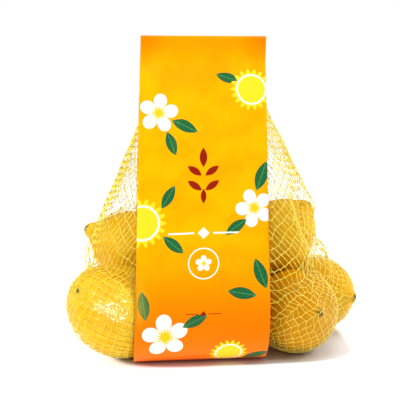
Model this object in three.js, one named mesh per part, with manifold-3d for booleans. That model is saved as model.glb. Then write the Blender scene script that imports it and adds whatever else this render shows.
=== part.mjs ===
import * as THREE from "three";
import { mergeVertices } from "three/addons/utils/BufferGeometryUtils.js";
import Module from "manifold-3d";

// A net of seven lemons, carried by a band of printed film that passes under the bag and is welded to
// itself above it. Millimetres, +Z up, front towards -Y. The pieces are laid out about the middle of the
// band's foot, and the finished group is then moved so that its box stands centred on the origin.

// Band of film: front panel, underside, back panel and top weld in one closed loop.
const BAND_HEIGHT = 240;
const BAND_WIDTH = 97.4; // at the floor
const BAND_TOP_WIDTH = 94.6;
const BAND_LEAN = 7.7; // how far the top weld stands to the right of the foot
const FILM = 0.5;
const FLOOR_HALF_DEPTH = 29; // half the strip of film that lies flat on the floor
const FRONT_BELLY = 61.5;
const BACK_BELLY = 59.5;
const BELLY_HEIGHT = 36;
const SHOULDER_DEPTH = 50; // where each panel turns from the belly into its straight slope
const SHOULDER_HEIGHT = 90;
const SHOULDER_PULL = 60; // height of the corner that the shoulder curve is drawn towards
const WELD_FOOT = 226;
const WELD_HALF_THICKNESS = 1;
const ROUND_SEGMENTS = 9;

// Knitted net: its outer form is a skin pulled from the gathered top over the lemons.
const NET_TOP = 222;
const GATHER_HALF_WIDTH = 32;
const GATHER_HALF_DEPTH = 1.4;
const NET_AXIS_X = 6;
const NET_COLUMNS = 68;
const NET_ROWS = 40;
const ROW_CROWDING = 1.3; // over 1 puts the rows closer together near the floor
const PULL_SWEEPS = 400;
const TAUTNESS = 0.985; // 1 bridges every hollow between the lemons straight across
const YARN = 0.8;

// Clearance between the net and the film that lies on it.
const GAP = 0.3;
const FAR = 400;

// Each lemon: centre, direction of its nipple, length and diameter.
const LEMONS = [
  { centre: [-59.4, -28, 35.2], nipple: [0.78, 0.33, -0.5], length: 86, diameter: 68 },
  { centre: [-50.2, 8, 81.8], nipple: [-0.93, -0.25, 0.28], length: 80, diameter: 54 },
  { centre: [63.7, 5, 85], nipple: [0.66, -0.08, 0.68], length: 75, diameter: 57 },
  { centre: [98.4, 31, 30.7], nipple: [0.93, -0.3, -0.05], length: 72, diameter: 60 },
  { centre: [72.2, -30, 31.3], nipple: [0.36, -0.92, 0.14], length: 72, diameter: 61 },
  { centre: [7.4, -30, 31.8], nipple: [0.25, 0.25, 0.93], length: 66, diameter: 55 },
  { centre: [-8.7, 29, 29], nipple: [0.98, 0.19, -0.01], length: 74, diameter: 57 },
];
// Shares of a lemon's length: half the rounded body, and where its middle and the nipple's lie.
const BODY_SHARE = 0.48;
const BODY_PLACE = -0.02;
const NIPPLE_PLACE = 0.42;
const NIPPLE_RADIUS = 5.5;
const CONTACT_RADIUS = 3; // the patch that a lemon rests on

const wasm = await Module();
wasm.setup();

// Outline of the band seen from the side, in (y, z), drawn inset from its outer face.
function bandOutline(inset) {
  const outer = inset === 0;
  const weldHalf = Math.max(WELD_HALF_THICKNESS - inset, 0.2);
  const shoulder = SHOULDER_DEPTH - inset;
  const pull = SHOULDER_PULL;
  const path = new THREE.Shape();
  path.moveTo(-FLOOR_HALF_DEPTH, inset);
  path.lineTo(FLOOR_HALF_DEPTH, inset);
  const backRise = BACK_BELLY - FLOOR_HALF_DEPTH - inset;
  path.absellipse(FLOOR_HALF_DEPTH, BELLY_HEIGHT, backRise, BELLY_HEIGHT - inset, -Math.PI / 2, 0);
  path.quadraticCurveTo(BACK_BELLY - inset, pull, shoulder, SHOULDER_HEIGHT);
  path.lineTo(weldHalf, WELD_FOOT - inset);
  if (outer) {
    path.lineTo(weldHalf, BAND_HEIGHT);
    path.lineTo(-weldHalf, BAND_HEIGHT);
  }
  path.lineTo(-weldHalf, WELD_FOOT - inset);
  path.lineTo(-shoulder, SHOULDER_HEIGHT);
  path.quadraticCurveTo(inset - FRONT_BELLY, pull, inset - FRONT_BELLY, BELLY_HEIGHT);
  const frontRise = FRONT_BELLY - FLOOR_HALF_DEPTH - inset;
  path.absellipse(-FLOOR_HALF_DEPTH, BELLY_HEIGHT, frontRise, BELLY_HEIGHT - inset, Math.PI, 1.5 * Math.PI);
  return path;
}

// A side outline drawn out across the bag, then narrowed and leant with height as the band is.
function acrossTheBag(outline, width) {
  const settings = { depth: width, bevelEnabled: false, curveSegments: ROUND_SEGMENTS };
  const geometry = new THREE.ExtrudeGeometry(outline, settings);
  geometry.translate(0, 0, -width / 2);
  const sideways = new THREE.Matrix4().makeBasis(
    new THREE.Vector3(0, 1, 0),
    new THREE.Vector3(0, 0, 1),
    new THREE.Vector3(1, 0, 0),
  );
  geometry.applyMatrix4(sideways);
  const place = geometry.getAttribute("position");
  for (let i = 0; i < place.count; i++) {
    const rise = place.getZ(i) / BAND_HEIGHT;
    const narrowing = 1 + (BAND_TOP_WIDTH / BAND_WIDTH - 1) * rise;
    place.setX(i, place.getX(i) * narrowing + BAND_LEAN * (rise - 0.5));
  }
  return geometry;
}

function filmBand() {
  const section = bandOutline(0);
  section.holes.push(bandOutline(FILM));
  return acrossTheBag(section, BAND_WIDTH);
}

// All that lies outside the film's inner face, over the width of the band.
function roomOfTheFilm() {
  const section = new THREE.Shape();
  section.moveTo(-FAR, -FAR);
  section.lineTo(FAR, -FAR);
  section.lineTo(FAR, FAR);
  section.lineTo(-FAR, FAR);
  section.holes.push(bandOutline(FILM + GAP));
  return acrossTheBag(section, BAND_WIDTH + 2 * GAP);
}

// How far a level ray from the net's axis runs before it leaves an ellipsoid of revolution, or 0.
function reachThrough(centre, axis, halfLength, radius, direction, height) {
  const start = new THREE.Vector3(NET_AXIS_X, 0, height).sub(centre);
  const along = 1 / halfLength ** 2 - 1 / radius ** 2;
  const form = (p, q) => p.dot(q) / radius ** 2 + along * p.dot(axis) * q.dot(axis);
  const a = form(direction, direction);
  const b = form(direction, start);
  const c = form(start, start) - 1;
  const root = b * b - a * c;
  return root < 0 ? 0 : Math.max((Math.sqrt(root) - b) / a, 0);
}

// How far the lemons push the net out at one height in one direction.
function lemonReach(direction, height) {
  let reach = 0;
  for (const lemon of LEMONS) {
    const centre = new THREE.Vector3(...lemon.centre);
    const axis = new THREE.Vector3(...lemon.nipple).normalize();
    const half = lemon.length * BODY_SHARE + YARN;
    const radius = lemon.diameter / 2 + YARN;
    const tip = centre.clone().addScaledVector(axis, lemon.length * NIPPLE_PLACE);
    const middle = centre.clone().addScaledVector(axis, lemon.length * BODY_PLACE);
    const body = reachThrough(middle, axis, half, radius, direction, height);
    const nipple = reachThrough(tip, axis, NIPPLE_RADIUS, NIPPLE_RADIUS, direction, height);
    reach = Math.max(reach, body, nipple);
  }
  return reach;
}

// How far the patches that the lower lemons rest on reach in one direction.
function footReach(direction) {
  let reach = 0;
  for (const lemon of LEMONS) {
    const onFloor = lemon.centre[2] < lemon.diameter;
    const foot = new THREE.Vector3(lemon.centre[0], lemon.centre[1], 0);
    const axis = new THREE.Vector3(0, 0, 1);
    const patch = reachThrough(foot, axis, CONTACT_RADIUS, CONTACT_RADIUS, direction, 0);
    if (onFloor) reach = Math.max(reach, patch);
  }
  return reach;
}

// Radius of the net at each row and column: pulled straight both ways, but held out by what is inside.
function netRadii() {
  const turn = (2 * Math.PI) / NET_COLUMNS;
  const heights = [];
  const held = [];
  for (let row = 0; row <= NET_ROWS; row++) {
    const height = NET_TOP * (row / NET_ROWS) ** ROW_CROWDING;
    heights.push(height);
    held.push([]);
    for (let column = 0; column < NET_COLUMNS; column++) {
      const angle = column * turn;
      const direction = new THREE.Vector3(Math.cos(angle), Math.sin(angle), 0);
      const slit = Math.min(
        GATHER_HALF_WIDTH / Math.abs(direction.x),
        GATHER_HALF_DEPTH / Math.abs(direction.y),
      );
      const reach = row === 0 ? footReach(direction) : lemonReach(direction, height);
      held[row].push(row === NET_ROWS ? slit : Math.max(reach, GATHER_HALF_DEPTH));
    }
  }
  const radii = held.map((row) => [...row]);
  for (let sweep = 0; sweep < PULL_SWEEPS; sweep++) {
    for (let row = 0; row < NET_ROWS; row++) {
      for (let column = 0; column < NET_COLUMNS; column++) {
        const before = radii[row][(column + NET_COLUMNS - 1) % NET_COLUMNS];
        const after = radii[row][(column + 1) % NET_COLUMNS];
        const chord = (2 * Math.cos(turn)) / (1 / before + 1 / after);
        let pulled = chord;
        if (row > 0) {
          const share = (heights[row] - heights[row - 1]) / (heights[row + 1] - heights[row - 1]);
          const line = radii[row - 1][column] * (1 - share) + radii[row + 1][column] * share;
          const slack = (chord + line) / 2;
          pulled = slack + (Math.max(chord, line) - slack) * TAUTNESS;
        }
        radii[row][column] = Math.max(held[row][column], pulled);
      }
    }
  }
  return { heights, radii, turn };
}

// The net's outer form as one closed skin: rings of points from the floor to the gathered top.
function netSkin() {
  const { heights, radii, turn } = netRadii();
  const points = [];
  const faces = [];
  radii.forEach((ring, row) => {
    ring.forEach((radius, column) => {
      const angle = column * turn;
      points.push(NET_AXIS_X + radius * Math.cos(angle), radius * Math.sin(angle), heights[row]);
    });
  });
  const foot = points.length / 3;
  points.push(NET_AXIS_X, 0, 0, NET_AXIS_X, 0, NET_TOP);
  const top = foot + 1;
  for (let column = 0; column < NET_COLUMNS; column++) {
    const next = (column + 1) % NET_COLUMNS;
    faces.push(foot, next, column);
    const last = NET_ROWS * NET_COLUMNS;
    faces.push(top, last + column, last + next);
    for (let row = 0; row < NET_ROWS; row++) {
      const low = row * NET_COLUMNS;
      const high = low + NET_COLUMNS;
      faces.push(low + column, low + next, high + next);
      faces.push(low + column, high + next, high + column);
    }
  }
  const geometry = new THREE.BufferGeometry();
  geometry.setAttribute("position", new THREE.Float32BufferAttribute(points, 3));
  geometry.setIndex(faces);
  return geometry;
}

function toSolid(geometry) {
  const bare = geometry.clone();
  bare.deleteAttribute("normal");
  bare.deleteAttribute("uv");
  const merged = mergeVertices(bare);
  const mesh = new wasm.Mesh({
    numProp: 3,
    vertProperties: merged.getAttribute("position").array,
    triVerts: new Uint32Array(merged.index.array),
  });
  return new wasm.Manifold(mesh);
}

function toGeometry(solid) {
  const { vertProperties, triVerts } = solid.getMesh();
  const geometry = new THREE.BufferGeometry();
  geometry.setAttribute("position", new THREE.BufferAttribute(vertProperties, 3));
  geometry.setIndex(new THREE.BufferAttribute(triVerts, 1));
  geometry.computeVertexNormals();
  return geometry;
}

function netBag() {
  return toGeometry(toSolid(netSkin()).subtract(toSolid(roomOfTheFilm())));
}

function piece(name, geometry, material) {
  const mesh = new THREE.Mesh(geometry, material);
  mesh.name = name;
  return mesh;
}

const filmFinish = new THREE.MeshStandardMaterial({ color: 0xfcae08, roughness: 0.42, metalness: 0 });
const netFinish = new THREE.MeshStandardMaterial({ color: 0xf2cd4a, roughness: 0.5, metalness: 0 });

const bag = new THREE.Group();
bag.add(piece("film_band", filmBand(), filmFinish));
bag.add(piece("net_bag", netBag(), netFinish));

const box = new THREE.Box3().setFromObject(bag);
const middle = box.getCenter(new THREE.Vector3());
bag.position.set(-middle.x, -middle.y, -box.min.z);

export default bag;
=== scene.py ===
import math
import random
from collections import namedtuple

import bmesh
import bpy
import numpy as np
from mathutils import Matrix, Vector


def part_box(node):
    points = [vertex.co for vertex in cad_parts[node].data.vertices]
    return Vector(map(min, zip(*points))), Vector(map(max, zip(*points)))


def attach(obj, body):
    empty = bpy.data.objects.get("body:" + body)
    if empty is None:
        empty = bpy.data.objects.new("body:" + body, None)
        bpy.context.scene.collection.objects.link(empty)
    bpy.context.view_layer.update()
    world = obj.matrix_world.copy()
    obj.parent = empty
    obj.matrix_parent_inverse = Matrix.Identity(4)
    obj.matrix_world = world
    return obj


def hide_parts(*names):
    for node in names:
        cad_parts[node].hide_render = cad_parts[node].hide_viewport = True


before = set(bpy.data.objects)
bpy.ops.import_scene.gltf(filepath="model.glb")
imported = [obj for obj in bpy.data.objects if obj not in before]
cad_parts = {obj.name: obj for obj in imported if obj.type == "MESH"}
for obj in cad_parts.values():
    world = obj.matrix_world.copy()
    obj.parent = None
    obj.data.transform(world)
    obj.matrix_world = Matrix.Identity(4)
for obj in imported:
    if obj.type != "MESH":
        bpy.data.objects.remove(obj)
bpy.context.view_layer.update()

# Lengths are in metres. The bag is laid out about the middle of the band's foot: x across, y from the
# front panel to the back panel, z up. ORIGIN carries that point into the frame.
BAND_WIDTH = 0.0974
BAND_TOP_WIDTH = 0.0946
BAND_LEAN = 0.0077
FRONT_BELLY = 0.0615
BAND_LOW, BAND_HIGH = (Vector(corner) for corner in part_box("film_band"))
BAND_HEIGHT = BAND_HIGH.z - BAND_LOW.z
ORIGIN = Vector((BAND_LOW.x + (BAND_WIDTH + BAND_LEAN) / 2, BAND_LOW.y + FRONT_BELLY, BAND_LOW.z))
WELD_HEIGHT = 0.014
WELD_FOOT = BAND_HEIGHT - WELD_HEIGHT

# Lemons: where the middle lies, where the nipple points, length and diameter, then the shape of the ends.
# Collar and nipple_width are radii as shares of the diameter, nipple_length is a share of the length, and
# taper says how pointed the half with the nipple is. Roll turns the lemon about its length, in degrees.
# Flat is its size one way across as a share of the other, and drift is how far its ends bend aside, as a
# share of the diameter. Ripeness turns the peel from lemon yellow to a darker golden: partly riper peel,
# and partly painted shade on the lemons to the right of the band and the two inside it.
Lemon = namedtuple("Lemon", (
    "centre", "nipple", "length", "diameter",
    "collar", "nipple_width", "nipple_length", "taper", "roll", "flat", "drift", "ripeness"))
LEMONS = {
    "lemon_front_left": Lemon(
        (-0.0604, -0.023, 0.0355), (0.67, 0.55, -0.50), 0.0930, 0.0680,
        0.18, 0.09, 0.13, 0.52, 20, 0.99, 0.008, 0.0),
    "lemon_upper_left": Lemon(
        (-0.0552, 0.0253, 0.0765), (-0.86, -0.28, 0.43), 0.0770, 0.0589,
        0.13, 0.118, 0.139, 1.03, 70, 0.98, 0.010, 0.0),
    "lemon_upper_right": Lemon(
        (0.0643, 0.0148, 0.0831), (0.70, -0.08, 0.71), 0.0760, 0.0597,
        0.14, 0.145, 0.104, 0.58, 140, 0.99, 0.010, 0.42),
    "lemon_back_right": Lemon(
        (0.1012, 0.0332, 0.0305), (0.74, -0.67, 0.04), 0.0746, 0.0600,
        0.13, 0.121, 0.094, 0.42, 200, 0.99, 0.010, 0.48),
    "lemon_front_right": Lemon(
        (0.0730, -0.0248, 0.0325), (0.281, -0.935, 0.217), 0.0735, 0.0629,
        0.15, 0.09, 0.12, 0.60, 260, 0.99, 0.010, 0.95),
    "lemon_front_middle": Lemon(
        (0.0074, -0.030, 0.0343), (0.25, 0.25, 0.93), 0.0660, 0.0550,
        0.14, 0.11, 0.11, 0.65, 310, 0.98, 0.010, 0.50),
    "lemon_back_middle": Lemon(
        (-0.0047, 0.029, 0.0285), (0.98, 0.19, -0.01), 0.0740, 0.0540,
        0.13, 0.10, 0.12, 0.68, 15, 0.98, 0.015, 0.60),
}
LEMON_SIDES = 32
LEMON_RINGS = 17
SEEN_DETAIL = 3  # times that a lemon is smoothed, beside the band and behind it
HIDDEN_DETAIL = 2
END_TURN = 0.035  # angle from the tip to the first and last ring
END_BLEND = 3.5
BODY_MIDDLE = -0.03
BODY_HALF = 0.46
BODY_ROUNDNESS = 2.1
STEM_TAPER = 0.55
COLLAR_PLACE = -0.42
COLLAR_REACH = 0.08
PEEL_LAYERS = (  # name, kind, size and depth of what is pressed into the peel
    ("form", "CLOUDS", 0.030, 0.0013), ("swellings", "CLOUDS", 0.010, 0.0007),
    ("glands", "VORONOI", 0.0023, 0.0005))

# Film: a section in the (y, z) plane for each of these places across the band, worked out about a point
# inside the bag, and then rows of points along its whole length.
FILM_COLUMNS = 61
FILM_ROWS = 320
FILM_ANGLES = 360
FILM_AXIS_Z = 0.09
FILM_CLEARANCE = 0.0024
FILM_THICKNESS = 0.00016
FILM_FLOOR = 0.00015
WELD_HALF_THICKNESS = 0.0006
FREE_SHARE = 0.35  # how far each column follows the fruit under it alone
COLUMN_REACH = 0.16  # how near that fruit lies, as a share of half the band's width
BACK_NARROWING = 0.5
SMOOTH_ROWS = 24
END_ROWS = 8
FOLD_SEED = 11
FOLDS = 16
CREASES = 10

# Net: rows of knots from the weld to the gather under the bag, joined by slanting legs.
NET_COLUMNS = 76
NET_ROWS = 68
NET_TOP = WELD_FOOT - 0.0045
NET_TOP_HALF_WIDTH = 0.032
NET_FOOT_Z = 0.0008
NET_TURN = 0.006
NET_FOOT_MIDDLE = 0.006
NET_FOOT_HALF_WIDTH = 0.038
NET_FOOT_Y = -0.012
NET_AXIS_X = 0.006
BAG_MIDDLE = (0.016, 0.0, 0.08)
SKIN_LEVELS = 120
SKIN_STEPS = 720
FLOOR_STEPS = 20
ROOM_LEVELS = 80
UPPER_ROOM = 0.0030  # how far the net keeps inside the film, above FILM_AXIS_Z and below it
LOWER_ROOM = 0.0014
UPPER_LEG = 0.0058  # length of a leg high in the bag and low in it
LOWER_LEG = 0.0074
NET_DROOP = 0.036  # how much further down the rows reach at the two sides
NET_SWEEP = 0.040  # how far columns shift from the sides to the front and back, low in the net
NET_FAN = 0.006  # the same in the upper part, which is FAN_SHARE of the rows
FAN_SHARE = 0.55
NET_PINCH = 0.078  # how far the left side is drawn in above PINCH_FOOT
PINCH_FOOT = 0.070
LEG_REST = 0.97
LEG_UNEVENNESS = 0.13
NET_SEED = 7
NET_PATCHINESS = 0.0008
NET_CLEARANCE = 0.00035
PULL_STEPS = 160
STRIDE_KEPT = 0.80  # what each knot's next stride takes from its last, from its legs and from its anchor
STRIDE_SHARE = 0.12
ANCHOR_SHARE = 0.04
CLING_REACH = 0.009
CLING_SHARE = 0.28
TAUT_SAG = 0.012  # how deep the net may sink between lemons, high in the bag and low in it
TAUT_FOOT_SAG = 0.008
TAUT_FOOT = 0.055
TAUT_TOP = 0.115
THREAD_RADIUS = 0.00026
THREAD_SIDES = 3
THREAD_END = 0.25
THREAD_LIFT = 0.9  # least height of a thread's middle over the peel, as a share of its radius
EYELET_SHARE = 0.06
EYELET_LONGEST = 0.0014
EYELET_ROUNDNESS = 0.9
EYELET_STEPS = 6

# The part of the floor that holds the bag's shade; outside it the floor glows white, a painted light.
SHADE_X = 0.010
SHADE_Y = 0.004
SHADE_HALF_LENGTH = 0.094
SHADE_HALF_DEPTH = 0.053

# Colours, as light.
PEEL_DEEP = (0.82, 0.46, 0.004)
PEEL_PALE = (0.88, 0.60, 0.03)
# Golden peel: partly riper peel, partly painted shade on the lemons that lie in the band's shade.
PEEL_GOLDEN_AND_SHADE = (0.60, 0.26, 0.0)
PEEL_FRECKLE = (0.92, 0.68, 0.02)
PEEL_TIP = (0.13, 0.08, 0.006)
PEEL_STEM = (0.50, 0.38, 0.02)
PEEL_SCAR = (0.09, 0.05, 0.008)
PEEL_ENDS = (  # where along and how far off the axis a tinge starts and is full, its strength and colour
    (0.40, 0.46, 0.0056, 0.0026, 0.95, PEEL_TIP),
    (-0.40, -0.45, 0.0090, 0.0040, 0.5, PEEL_STEM),
    (-0.40, -0.45, 0.0034, 0.0024, 0.9, PEEL_SCAR))
THREAD_DEEP = (0.98, 0.68, 0.06)
THREAD_PALE = (1.0, 0.80, 0.14)
GROUND_HEAD = (0.99, 0.27, 0.0)
GROUND_DEEP = (0.99, 0.35, 0.0)
GROUND_PALE = (1.0, 0.43, 0.0)
GROUND_LOW = (0.98, 0.175, 0.0)
INK_WHITE = (0.96, 0.93, 0.84)
INK_HEART = (0.98, 0.56, 0.01)
INK_GREEN = (0.004, 0.11, 0.035)
INK_VEIN = (0.06, 0.26, 0.09)
INK_SUN = (1.0, 0.66, 0.02)
INK_RED = (0.26, 0.008, 0.004)

# The print: place across a panel, place down from its top edge, turn in degrees, size.
BLOSSOMS = (
    (-0.034, 0.060, 10, 0.015), (0.038, 0.132, 40, 0.0145), (-0.027, 0.224, 25, 0.017))
SUNS = (
    (0.037, 0.042, 0, 0.0165), (-0.045, 0.142, 0, 0.018), (0.020, 0.242, 0, 0.014))
LEAVES = (
    (-0.014, 0.070, -25, 0.011), (-0.024, 0.083, -70, 0.010), (0.019, 0.033, 160, 0.010),
    (0.044, 0.108, 70, 0.012), (0.024, 0.146, 215, 0.010), (-0.026, 0.123, 60, 0.010),
    (-0.022, 0.158, -40, 0.010), (0.042, 0.180, 110, 0.012), (0.028, 0.194, 170, 0.011),
    (-0.006, 0.213, 25, 0.010), (-0.043, 0.201, 100, 0.011), (0.040, 0.246, 30, 0.011))
SPRIG = (
    (0.0, 0.094, 90, 0.0075), (-0.0065, 0.104, 145, 0.0065), (0.0065, 0.104, 35, 0.0065),
    (-0.0065, 0.115, 145, 0.0065), (0.0065, 0.115, 35, 0.0065), (0.0, 0.123, 90, 0.0055))
UPPER_DIVIDER = ((0.0, 0.150, 0, 0.026),)
RING = ((0.0, 0.172, 0, 0.0115),)
RING_BLOSSOM = ((0.0, 0.172, 90, 0.006),)
LOWER_DIVIDER = ((0.0, 0.208, 0, 0.013),)

LAMPS = {  # place, aim, size and power
    "overhead": ((0.02, -0.18, 1.08), (0, 0, 0.06), 0.6, 6.0),
    "left_key": ((-0.50, -0.26, 0.36), (-0.03, 0, 0.08), 0.45, 2.35),
    "right_key": ((0.58, -0.10, 0.46), (0.04, 0, 0.06), 0.35, 2.2),
    "right_back": ((0.80, 0.45, 0.90), (0, 0, 0.08), 0.6, 3.0),
    "shine": ((-0.01, -0.66, 0.112), (-0.099, -0.06, 0.052), 0.03, 0.13),
}


def to_frame(points):
    """Points of the layout, carried to where the band stands in the frame."""
    return np.asarray(points, float) + np.array(ORIGIN)


def deselect_all():
    bpy.ops.object.select_all(action="DESELECT")


def finish_modifiers(obj):
    """Applies every modifier on the piece, in order."""
    bpy.context.view_layer.objects.active = obj
    for modifier in list(obj.modifiers):
        bpy.ops.object.modifier_apply(modifier=modifier.name)


def mesh_piece(name, points, faces):
    """A piece from arrays of points and of four-sided faces."""
    mesh = bpy.data.meshes.new(name)
    mesh.from_pydata(points.tolist(), [], faces.tolist())
    mesh.update()
    piece = bpy.data.objects.new(name, mesh)
    bpy.context.scene.collection.objects.link(piece)
    return piece


def mesh_points(piece):
    points = np.empty(len(piece.data.vertices) * 3, np.float32)
    piece.data.vertices.foreach_get("co", points)
    return points.reshape(-1, 3)


def choose(piece):
    """Makes the piece the only chosen one, and the active one."""
    deselect_all()
    piece.select_set(True)
    bpy.context.view_layer.objects.active = piece


# ---------------------------------------------------------------- lemons

def ring_share(along, lemon):
    """Radius of a lemon as a share of its diameter, at a place along it from -0.5 to 0.5."""
    def round_end(middle, reach):
        return math.sqrt(max(1 - (abs(along - middle) / reach) ** 2, 0))

    taper = lemon.taper if along > BODY_MIDDLE else STEM_TAPER
    body = 0.5 * (1 - min(abs(along - BODY_MIDDLE) / BODY_HALF, 1) ** BODY_ROUNDNESS) ** taper
    nipple = lemon.nipple_width * round_end(0.5 - lemon.nipple_length, lemon.nipple_length)
    collar = lemon.collar * round_end(COLLAR_PLACE, COLLAR_REACH)
    return (body ** END_BLEND + nipple ** END_BLEND + collar ** END_BLEND) ** (1 / END_BLEND)


def lemon_axis(lemon):
    return np.array(Vector(lemon.nipple).normalized())


def ring_places():
    """Places along a lemon where its rings lie: closer together towards both ends."""
    turns = np.linspace(END_TURN, math.pi - END_TURN, LEMON_RINGS)
    return [-0.5 * math.cos(turn) for turn in turns]


def draw_up(rise, aside=0.0):
    """Extrudes what is chosen along the lemon, and perhaps a little aside."""
    bpy.ops.mesh.extrude_region_move(TRANSFORM_OT_translate={"value": (aside, 0, rise)})


def model_lemon(name, lemon):
    """Rings drawn up one after another from the stem end to the nipple, closed, smoothed and placed."""
    length = lemon.length
    bend = lemon.drift * lemon.diameter * 4
    places = ring_places()
    sizes = [ring_share(place, lemon) * lemon.diameter for place in places]
    deselect_all()
    bpy.ops.mesh.primitive_circle_add(
        vertices=LEMON_SIDES, radius=sizes[0], location=(0, 0, places[0] * length))
    piece = bpy.context.active_object
    piece.name = name
    bpy.ops.object.transform_apply(location=True)
    bpy.ops.object.mode_set(mode="EDIT")
    for index in range(1, LEMON_RINGS):
        here = places[index]
        before = places[index - 1]
        draw_up((here - before) * length, bend * (here ** 2 - before ** 2))
        middle = (bend * (here ** 2 - places[0] ** 2), 0, here * length)
        growth = sizes[index] / sizes[index - 1]
        bpy.ops.transform.resize(value=(growth, growth, 1), center_override=middle)
    draw_up(length * 0.003)
    bpy.ops.mesh.merge(type="CENTER")
    close_stem_end(piece, length)
    bpy.ops.mesh.select_all(action="SELECT")
    bpy.ops.transform.resize(value=(1, lemon.flat, 1), center_override=(0, 0, 0))
    bpy.ops.mesh.normals_make_consistent(inside=False)
    bpy.ops.object.mode_set(mode="OBJECT")
    smooth_lemon(piece, HIDDEN_DETAIL if name.endswith("middle") else SEEN_DETAIL)
    place_lemon(piece, lemon)
    mark_peel(piece, lemon)
    roughen_peel(piece)
    bpy.ops.object.shade_smooth()
    return piece


def close_stem_end(piece, length):
    """Turns the first ring inwards to a shallow scar and closes it."""
    mesh = bmesh.from_edit_mesh(piece.data)
    lowest = min(vertex.co.z for vertex in mesh.verts)
    bpy.ops.mesh.select_all(action="DESELECT")
    for vertex in mesh.verts:
        vertex.select = vertex.co.z < lowest + length * 0.0005
    mesh.select_flush(True)
    bmesh.update_edit_mesh(piece.data)
    draw_up(length * 0.002)
    bpy.ops.transform.resize(value=(0.6, 0.6, 1), center_override=(0, 0, lowest))
    draw_up(length * 0.006)
    bpy.ops.mesh.merge(type="CENTER")


def smooth_lemon(piece, detail):
    rounding = piece.modifiers.new("rounding", "SUBSURF")
    rounding.levels = detail
    rounding.render_levels = detail
    finish_modifiers(piece)


def place_lemon(piece, lemon):
    """Rolls the lemon about its length, points its nipple and moves it to its place in the bag."""
    choose(piece)
    aim = Vector(lemon.nipple).to_track_quat("Z", "Y").to_matrix().to_4x4()
    turned = aim @ Matrix.Rotation(math.radians(lemon.roll), 4, "Z")
    turned.translation = Vector(to_frame(lemon.centre))
    piece.matrix_world = turned
    bpy.ops.object.transform_apply(location=True, rotation=True, scale=True)


def roughen_peel(piece):
    """Uneven form, low swellings and oil glands, pressed into the peel itself."""
    for label, kind, size, depth in PEEL_LAYERS:
        grain = bpy.data.textures.new(label, kind)
        grain.noise_scale = size
        press = piece.modifiers.new(label, "DISPLACE")
        press.texture = grain
        press.texture_coords = "LOCAL"
        press.strength = depth
        press.mid_level = 0.5
    finish_modifiers(piece)


def mark_peel(piece, lemon):
    """Stores at each point how far along the lemon and off its axis it lies, and how golden its peel is:
    partly ripeness, partly painted shade.
    """
    offset = mesh_points(piece) - to_frame(lemon.centre)
    axis = lemon_axis(lemon)
    along = offset @ axis
    aside = np.linalg.norm(offset - along[:, None] * axis, axis=1)
    ripeness = np.full(len(along), lemon.ripeness)
    for name, values in (("along", along / lemon.length), ("aside", aside), ("ripeness", ripeness)):
        layer = piece.data.attributes.new(name, "FLOAT", "POINT")
        layer.data.foreach_set("value", values.astype(np.float32))


# ---------------------------------------------------------------- what the net and film lie on

class LemonForms:
    """The lemons as surfaces of revolution, for what is pulled over them."""

    def __init__(self):
        self.places = np.linspace(-0.5, 0.5, 121)
        self.lemons = []
        for lemon in LEMONS.values():
            radii = np.array([ring_share(place, lemon) for place in self.places]) * lemon.diameter
            slopes = np.clip(np.gradient(radii, self.places * lemon.length), -3, 3)
            self.lemons.append((np.array(lemon.centre), lemon_axis(lemon), lemon.length, radii, slopes))

    def measure(self, lemon, points):
        """Distance of points from a lemon's axis, its radius there or -1, and its steepness and normal."""
        centre, axis, length, radii, slopes = lemon
        offset = points - centre
        along = offset @ axis
        outward = offset - along[..., None] * axis
        distance = np.maximum(np.linalg.norm(outward, axis=-1), 1e-6)
        radius = np.interp(along / length, self.places, radii, left=-1, right=-1)
        slope = np.interp(along / length, self.places, slopes)
        steep = np.sqrt(1 + slope ** 2)
        normal = (outward / distance[..., None] - slope[..., None] * axis) / steep[..., None]
        return distance, radius, steep, normal

    def push_out(self, points, clearance):
        """Moves points that lie inside a lemon out to its surface."""
        for lemon in self.lemons:
            distance, radius, steep, normal = self.measure(lemon, points)
            depth = radius + clearance - distance
            inside = (depth > 0) & (radius >= 0)
            points = points + np.where(inside, depth / steep, 0)[..., None] * normal
        return points

    def draw_in(self, points, reach, part):
        """Draws points that hover close to a lemon part of the way down to its surface."""
        nearest = np.full(points.shape[:-1], reach)
        pull = np.zeros_like(points)
        for lemon in self.lemons:
            distance, radius, steep, normal = self.measure(lemon, points)
            gap = (distance - radius - NET_CLEARANCE) / steep
            closer = (gap > 0) & (gap < nearest) & (radius >= 0)
            nearest = np.where(closer, gap, nearest)
            pull = np.where(closer[..., None], -normal * gap[..., None], pull)
        share = np.clip(2 - 2 * nearest / reach, 0, 1)
        return points + pull * (part * share)[..., None]

    def cloud(self, around, along):
        """Points all over the lemons."""
        turns = np.linspace(0, 2 * math.pi, around, endpoint=False)
        places = np.linspace(-0.5, 0.5, along)
        clouds = []
        for centre, axis, length, radii, _ in self.lemons:
            side = np.cross(axis, (0.0, 0.1, 1.0))
            side /= np.linalg.norm(side)
            other = np.cross(axis, side)
            radius = np.interp(places, self.places, radii)
            ring = np.cos(turns)[:, None] * side + np.sin(turns)[:, None] * other
            points = centre + places[:, None, None] * length * axis + radius[:, None, None] * ring
            clouds.append(points.reshape(-1, 3))
        return np.concatenate(clouds)


# ---------------------------------------------------------------- film

def band_half_width(z):
    rise = z / BAND_HEIGHT
    return (BAND_WIDTH + (BAND_TOP_WIDTH - BAND_WIDTH) * rise) / 2


def band_middle(z):
    return BAND_LEAN * (z / BAND_HEIGHT - 0.5)


def across_band(points):
    """Place across the band of points at any height, from -1 at its left edge to 1."""
    return (points[..., 0] - band_middle(points[..., 2])) / band_half_width(points[..., 2])


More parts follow.
